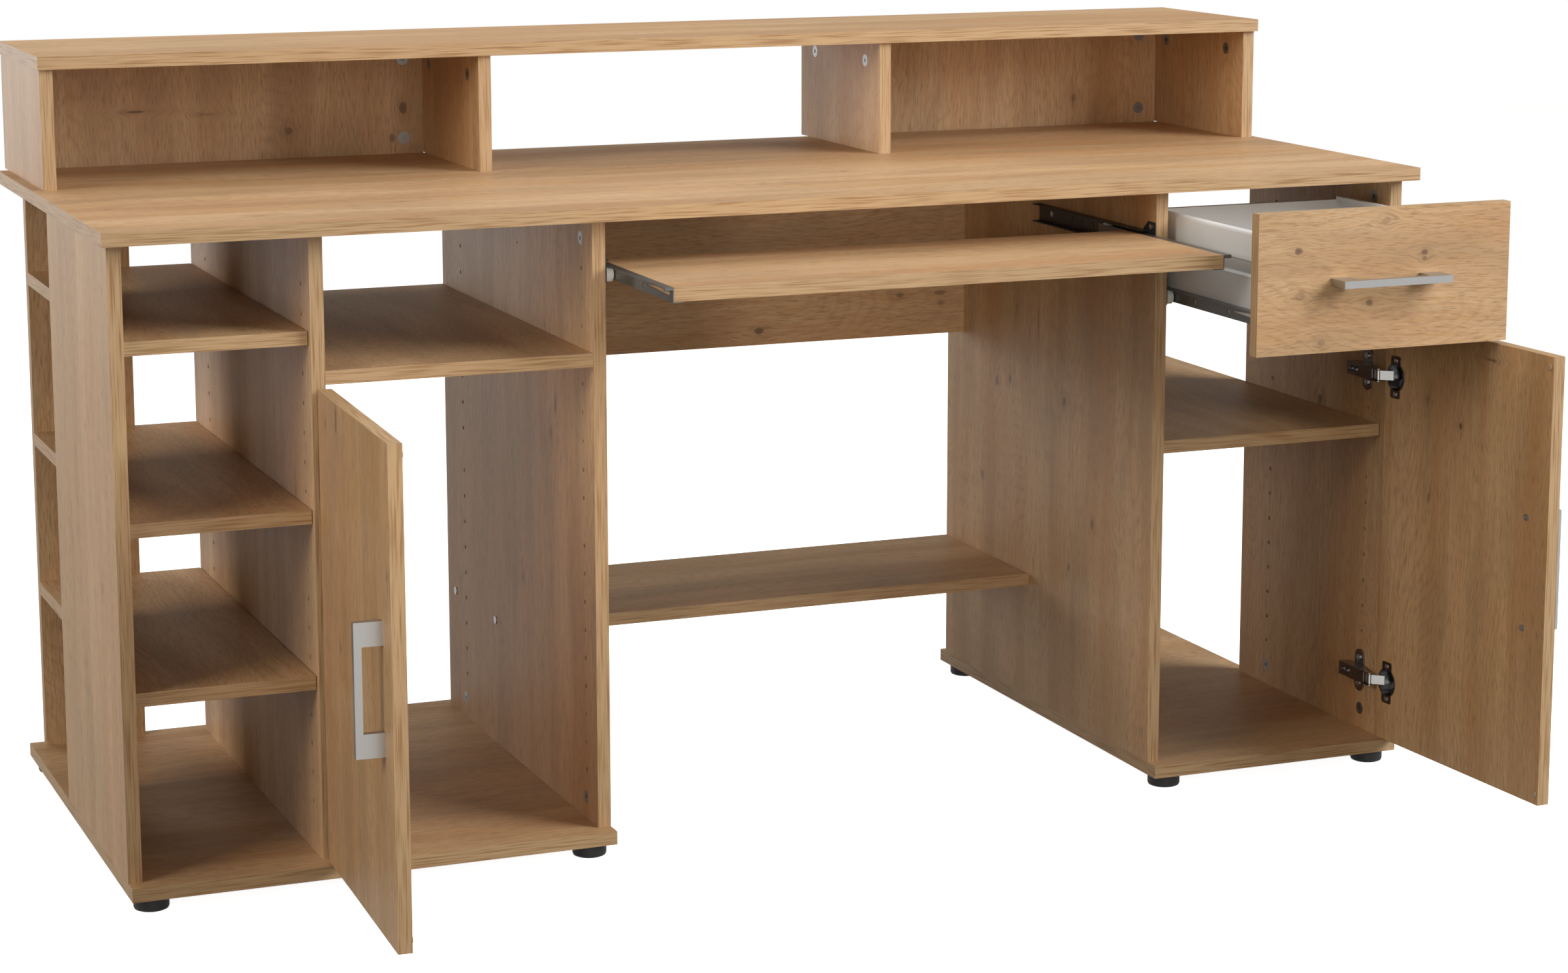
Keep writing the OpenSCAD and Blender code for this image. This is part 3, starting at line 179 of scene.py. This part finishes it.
def oakMaterial(board, face, grain, cut, turn, knots):
    material = bpy.data.materials.new("lightOakDecor_" + board)
    tree = emptyTree(material)
    coord = addNode(tree, "TexCoord").outputs
    # Millimetres, turned back to the shut place for a door that is modelled open
    turned = (0, 0, math.radians(turn))
    place = addNode(tree, "Mapping", {"Vector": coord["Object"], "Rotation": turned,
                                      "Scale": (1000, 1000, 1000)})
    normal = addNode(tree, "Mapping", {"Vector": coord["Normal"], "Rotation": turned})
    placeAxes = addNode(tree, "SeparateXYZ", [place]).outputs
    normalAxes = addNode(tree, "SeparateXYZ", [normal]).outputs
    widthAxis = ({"X", "Y", "Z"} - {face, grain}).pop()
    widthwise, lengthwise, through = placeAxes[widthAxis], placeAxes[grain], placeAxes[face]
    flat = addNode(tree, "CombineXYZ", [widthwise, lengthwise, 0.0])
    side = addNode(tree, "Math", [normalAxes[face]], operation="SIGN")
    facing = addNode(tree, "Math", [normalAxes[face]], operation="ABSOLUTE")
    onFace = addNode(tree, "Math", [facing, 0.5], operation="GREATER_THAN")

    flow, darkness = knotNodes(tree, place, flat, widthwise, knots)
    colour, pores = printNodes(tree, flat, flow, lengthwise, side, cut)
    colour = addNode(tree, "Mix", [darkness, colour, paint(knot["tone"])], data_type="RGBA")
    edge = edgeNodes(tree, place, normal, face, through, cut)
    colour = addNode(tree, "Mix", [onFace, edge, colour], data_type="RGBA")
    bump = addNode(tree, "Bump", {"Height": pores, "Strength": oak["poreBump"],
                                  "Distance": oak["poreDepth"]}, invert=True)
    shader = addNode(tree, "BsdfPrincipled", {"Base Color": colour, "Roughness": oak["roughness"],
                                              "Normal": bump})
    addNode(tree, "OutputMaterial", [shader])
    return material


# Each board: the axis through its face, the axis of its grain, and its knots as places across
# and along the grain, width, length and strength
boards = {
    "worktop": ("Z", "X", [(-27, -439, 3, 16, 0.5), (60, 120, 5, 9, 0.4), (-90, -610, 5, 9, 0.4)]),
    "left_base_plate": ("Z", "X", []),
    "right_base_plate": ("Z", "X", []),
    "left_side_panel": ("X", "Z", [(-60, 330, 5, 9, 0.45)]),
    "left_divider": ("X", "Z", [(-60, 420, 4, 12, 0.5)]),
    "left_knee_panel": ("X", "Z", [
        (-10, 484, 3, 14, 0.7), (9, 451, 3, 10, 0.6), (120, 260, 4, 10, 0.6)]),
    "right_knee_panel": ("X", "Z", [
        (276, 420, 5, 7, 0.6), (238, 430, 5, 8, 0.75), (88, 425, 5, 7, 0.6), (317, 291, 4, 8, 0.5),
        (8, 287, 5, 7, 0.6), (69, 220, 4, 8, 0.6), (160, 512, 2, 26, 0.5), (221, 520, 3, 12, 0.5)]),
    "right_side_panel": ("X", "Z", [(6, 419, 6, 9, 0.7)]),
    "left_rear_board": ("Y", "Z", []),
    "right_rear_board": ("Y", "Z", []),
    "left_top_shelf": ("Z", "Y", []),
    "left_middle_shelf": ("Z", "Y", []),
    "left_bottom_shelf": ("Z", "Y", []),
    "cabinet_fixed_shelf": ("Z", "Y", []),
    "cabinet_adjustable_shelf": ("Z", "Y", []),
    "modesty_panel": ("Y", "X", [
        (487, 142, 5, 8, 0.75), (522, 335, 4, 7, 0.6), (522, 392, 3, 9, 0.6), (508, 394, 3, 7, 0.5)]),
    "footrest_shelf": ("Z", "X", []),
    "hutch_top": ("Z", "X", [(200, 260, 5, 9, 0.35)]),
    "hutch_left_side": ("X", "Z", []),
    "hutch_left_divider": ("X", "Z", []),
    "hutch_right_divider": ("X", "Z", []),
    "hutch_right_side": ("X", "Z", []),
    "hutch_left_back": ("Y", "Z", [
        (-625, 786, 12, 1.6, 0.7), (-541, 780, 9, 1.6, 0.6), (-441, 756, 5, 5, 0.6),
        (-297, 779, 5, 8, 0.7), (-311, 743, 4, 6, 0.6)]),
    "hutch_right_back": ("Y", "Z", [(330, 790, 10, 1.6, 0.5), (620, 760, 5, 7, 0.5)]),
    "drawer_front": ("Y", "X", [
        (665, 479, 5, 6, 0.75), (656, 640, 4, 5, 0.7), (649, 640, 3, 4, 0.6), (603, 571, 5, 6, 0.7),
        (694, 590, 5, 6, 0.35), (615, 483, 5, 8, 0.35), (562, 511, 4, 5, 0.35)]),
    "tray_board": ("Z", "X", [(-250, -80, 4, 8, 0.35)]),
    "left_door": ("Y", "Z", [
        (262, 530, 3, 16, 0.75), (211, 516, 3, 10, 0.6), (259, 288, 3, 9, 0.5),
        (482, 412, 4, 8, 0.5)]),
    "right_door": ("Y", "Z", [
        (-270, 463, 4, 10, 0.6), (-390, 525, 12, 2, 0.6), (-334, 440, 4, 6, 0.8),
        (-276, 345, 4, 10, 0.5)]),
}
# How far each door turns from the place where it is modelled until it is shut
shutTurn = {joint["child"]: joint["range_deg"][1] * joint["axis"][2]
            for joint in record["behaviour"]["joints"] if joint["child"].endswith("_door")}
for cut, (board, (face, grain, knots)) in enumerate(boards.items(), 1):
    dress(board, oakMaterial(board, face, grain, cut, shutTurn.get(board, 0.0), knots))
print("boards have their decor")

# What a fitting's finish has where it doesn't say otherwise
plainFinish = {"metallic": 0.0, "glossChange": 0.05, "bump": 0.05, "bumpDepth": 0.0002}
# Finish of each kind of fitting: its slot in the record, its two tones, the size of its grain in
# millimetres, and its gloss
finishes = {
    # Steel drawer box, powder coated and baked: even, pale and satin with a faint orange peel
    "whitePowderCoat": {
        "slot": "white_steel", "light": "#e6e6e4", "dark": "#dcdcda", "speck": 0.8, "roughness": 0.42},
    # Drawer bottom, thin board under printed melamine: flat white, hardly any gloss
    "paleMelamine": {
        "slot": "white_board", "light": "#e4e3df", "dark": "#dad9d5", "speck": 2.0, "roughness": 0.5},
    # Cabinet rails, rolled steel with a black powder coat: dark, with soft highlights on the folds
    "blackPowderCoat": {
        "slot": "black_steel", "light": "#2e2e2f", "dark": "#1f1f20", "speck": 0.9, "roughness": 0.42},
    # Runners on drawer and tray, rolled steel with a grey zinc coat: dull metal that still reflects
    "greyZincCoat": {
        "slot": "grey_steel", "light": "#7c7c78", "dark": "#646460", "speck": 3.0, "roughness": 0.38,
        "metallic": 0.8},
    # Hinge arms and plates, pressed steel with black nickel plate: dark mirror with bright edges
    "blackNickelPlate": {
        "slot": "black_nickel", "light": "#a8a8ab", "dark": "#7d7d80", "speck": 3.0, "roughness": 0.2,
        "metallic": 1.0},
    # Hinge cups and links, pressed steel with bright nickel plate: a clear, slightly soft reflection
    "brightNickelPlate": {
        "slot": "bright_steel", "light": "#d5d5d3", "dark": "#c6c6c4", "speck": 3.0, "roughness": 0.2,
        "metallic": 1.0},
    # Bow handles, cast zinc with a satin nickel plate: pale metal with a broad, soft highlight
    "satinNickel": {
        "slot": "satin_nickel", "light": "#b9b9b8", "dark": "#a9a9a8", "speck": 0.8, "roughness": 0.36,
        "metallic": 1.0},
    # Screws, bolts and pins, turned steel with bright zinc plate: blue-grey and slightly mottled
    "brightZinc": {
        "slot": "zinc_steel", "light": "#c4c5c7", "dark": "#aeb0b2", "speck": 1.5, "roughness": 0.32,
        "metallic": 1.0},
    # Cam discs, die-cast zinc left bare: mottled grey metal, rougher than plate
    "bareZincCasting": {
        "slot": "cam_zinc", "light": "#a8a8a6", "dark": "#7b7b79", "speck": 1.2, "roughness": 0.4,
        "metallic": 1.0, "bump": 0.2},
    # Glides under the base plates, moulded polypropylene: black and dull with a fine grain
    "blackMouldedPlastic": {
        "slot": "black_plastic", "light": "#1c1c1d", "dark": "#121213", "speck": 1.0, "roughness": 0.5},
    # Rollers, moulded nylon: milky white with a low gloss
    "whiteNylon": {
        "slot": "white_nylon", "light": "#ecebe6", "dark": "#e0dfda", "speck": 1.0, "roughness": 0.45},
    # Door bumpers, clear soft plastic stuck on the decor, which shows through it
    "clearSoftPlastic": {
        "slot": "clear_bumper", "light": "#b89b7a", "dark": "#a98b69", "speck": 2.0, "roughness": 0.25},
    # Dowels, turned beech: pale and fine grained, only their ends could ever show
    "beechDowel": {
        "slot": "beech_dowel", "light": "#dcc193", "dark": "#c9a976", "speck": 2.0, "roughness": 0.6},
}


def fittingMaterial(name, look):
    material = bpy.data.materials.new(name)
    tree = emptyTree(material)
    coord = addNode(tree, "TexCoord").outputs
    grit = addNode(tree, "TexNoise", {"Vector": coord["Object"], "Scale": 1000 / look["speck"],
                                      "Detail": 3.0})
    colour = addNode(tree, "Mix", [grit, paint(look["dark"]), paint(look["light"])],
                     data_type="RGBA")
    gloss = addNode(tree, "MapRange", {"Value": grit, "To Min": look["roughness"] - look["glossChange"],
                                       "To Max": look["roughness"] + look["glossChange"]})
    bump = addNode(tree, "Bump", {"Height": grit, "Strength": look["bump"],
                                  "Distance": look["bumpDepth"]})
    shader = addNode(tree, "BsdfPrincipled", {"Base Color": colour, "Metallic": look["metallic"],
                                              "Roughness": gloss, "Normal": bump})
    addNode(tree, "OutputMaterial", [shader])
    return material


slotMaterials = {look["slot"]: fittingMaterial(name, {**plainFinish, **look})
                 for name, look in finishes.items()}
for part in record["subparts"]:
    if part["material_slot"] in slotMaterials:
        dress(part["node"], slotMaterials[part["material_slot"]])
print("fittings have their finish")

# Floor and backdrop: white to the camera, and dark to the object's own light, so shade stays deep
studio = {"floorSize": 14.0, "floorColour": "#f4f4f2", "bounceColour": "#2f2b26", "floorGlow": 0.93,
          "skyColour": "#fff1dc", "skyLevel": 0.03, "mirroredSky": 0.4}


def cameraShare(tree):
    # 1 for what the camera sees, also through clear pieces, and less for what is mirrored
    path = addNode(tree, "LightPath").outputs
    seen = addNode(tree, "Math", [path["Is Glossy Ray"], studio["mirroredSky"],
                                  path["Is Camera Ray"]], operation="MULTIPLY_ADD")
    return addNode(tree, "Math", [seen, path["Is Transmission Ray"]], operation="MAXIMUM")


floorMesh = bmesh.new()
bmesh.ops.create_grid(floorMesh, x_segments=1, y_segments=1, size=studio["floorSize"] / 2)
floorData = bpy.data.meshes.new("floor")
floorMesh.to_mesh(floorData)
floorMesh.free()
floor = bpy.data.objects.new("floor", floorData)
bpy.context.scene.collection.objects.link(floor)
floorMaterial = bpy.data.materials.new("paleStudioFloor")  # matt paint on a smooth floor
tree = emptyTree(floorMaterial)
seen = cameraShare(tree)
floorTone = addNode(tree, "Mix", [seen, paint(studio["bounceColour"]), paint(studio["floorColour"])],
                    data_type="RGBA")
matte = addNode(tree, "BsdfDiffuse", {"Color": floorTone})
glowLevel = addNode(tree, "Math", [seen, studio["floorGlow"]], operation="MULTIPLY")
glow = addNode(tree, "Emission", {"Color": (1, 1, 1, 1), "Strength": glowLevel})
addNode(tree, "OutputMaterial", [addNode(tree, "AddShader", [matte, glow])])
floorData.materials.append(floorMaterial)

world = bpy.data.worlds.new("studio")
bpy.context.scene.world = world
tree = emptyTree(world)
seen = cameraShare(tree)
skyTone = addNode(tree, "Mix", [seen, paint(studio["skyColour"]), (1, 1, 1, 1)], data_type="RGBA")
skyLevel = addNode(tree, "Math", [seen, studio["skyLevel"]], operation="MAXIMUM")
addNode(tree, "OutputWorld", [addNode(tree, "Background", [skyTone, skyLevel])])

# Soft boxes: size, power, spread in degrees, tone, place and aim
softBoxes = {
    "leftSoftBox": (2.2, 102.0, 180, "#fff8ee", (-4.2, -1.2, 2.4), (0.0, 0.0, 0.45)),
    "rightSoftBox": (2.8, 272.0, 180, "#fafcff", (3.32, -2.78, 2.9), (0.0, 0.0, 0.45)),
    "frontSoftBox": (2.2, 46.0, 180, "#fff8ee", (-0.8, -4.5, 1.2), (0.0, 0.0, 0.45)),
    "topSoftBox": (2.2, 34.0, 180, "#fafcff", (-0.2, 0.7, 2.9), (0.0, 0.0, 0.7)),
    "backSoftBox": (1.6, 42.0, 180, "#fafcff", (-2.6, 4.0, 1.1), (0.0, 0.3, 0.5)),
    "kneeSoftBox": (0.5, 0.34, 14, "#fff8ee", (-2.2, -3.2, 0.9), (0.15, 0.3, 0.42)),
}
for name, (size, power, spread, tone, place, aim) in softBoxes.items():
    light = bpy.data.lights.new(name, "AREA")
    light.shape = "SQUARE"
    light.size = size
    light.energy = power
    light.spread = math.radians(spread)
    light.color = paint(tone)[:3]
    lamp = bpy.data.objects.new(name, light)
    bpy.context.scene.collection.objects.link(lamp)
    lamp.location = place
    lamp.rotation_euler = (Vector(aim) - Vector(place)).to_track_quat("-Z", "Y").to_euler()

# The photograph is squared up, so its uprights stand parallel. This camera stands in nearly the
# same place and tilts down to the desk, with a small shift, so that it suits other views too.
view = {"place": (-1.45585, -3.64476, 1.17635), "yaw": 22.0603, "pitch": -10.068, "roll": -0.0688,
        "lens": 79.491, "sensor": 36.0, "shift": -0.06}
cameraData = bpy.data.cameras.new("camera")
cameraData.sensor_fit = "HORIZONTAL"
cameraData.sensor_width = view["sensor"]
cameraData.lens = view["lens"]
cameraData.shift_y = view["shift"]
camera = bpy.data.objects.new("camera", cameraData)
bpy.context.scene.collection.objects.link(camera)
turn = Matrix.Identity(4)
for angle, axis in ((-view["yaw"], "Z"), (90 + view["pitch"], "X"), (view["roll"], "Z")):
    turn = turn @ Matrix.Rotation(math.radians(angle), 4, axis)
camera.matrix_world = Matrix.Translation(view["place"]) @ turn
bpy.context.scene.camera = camera
bpy.context.scene.view_settings.view_transform = "Standard"
print("floor, light and camera are set")
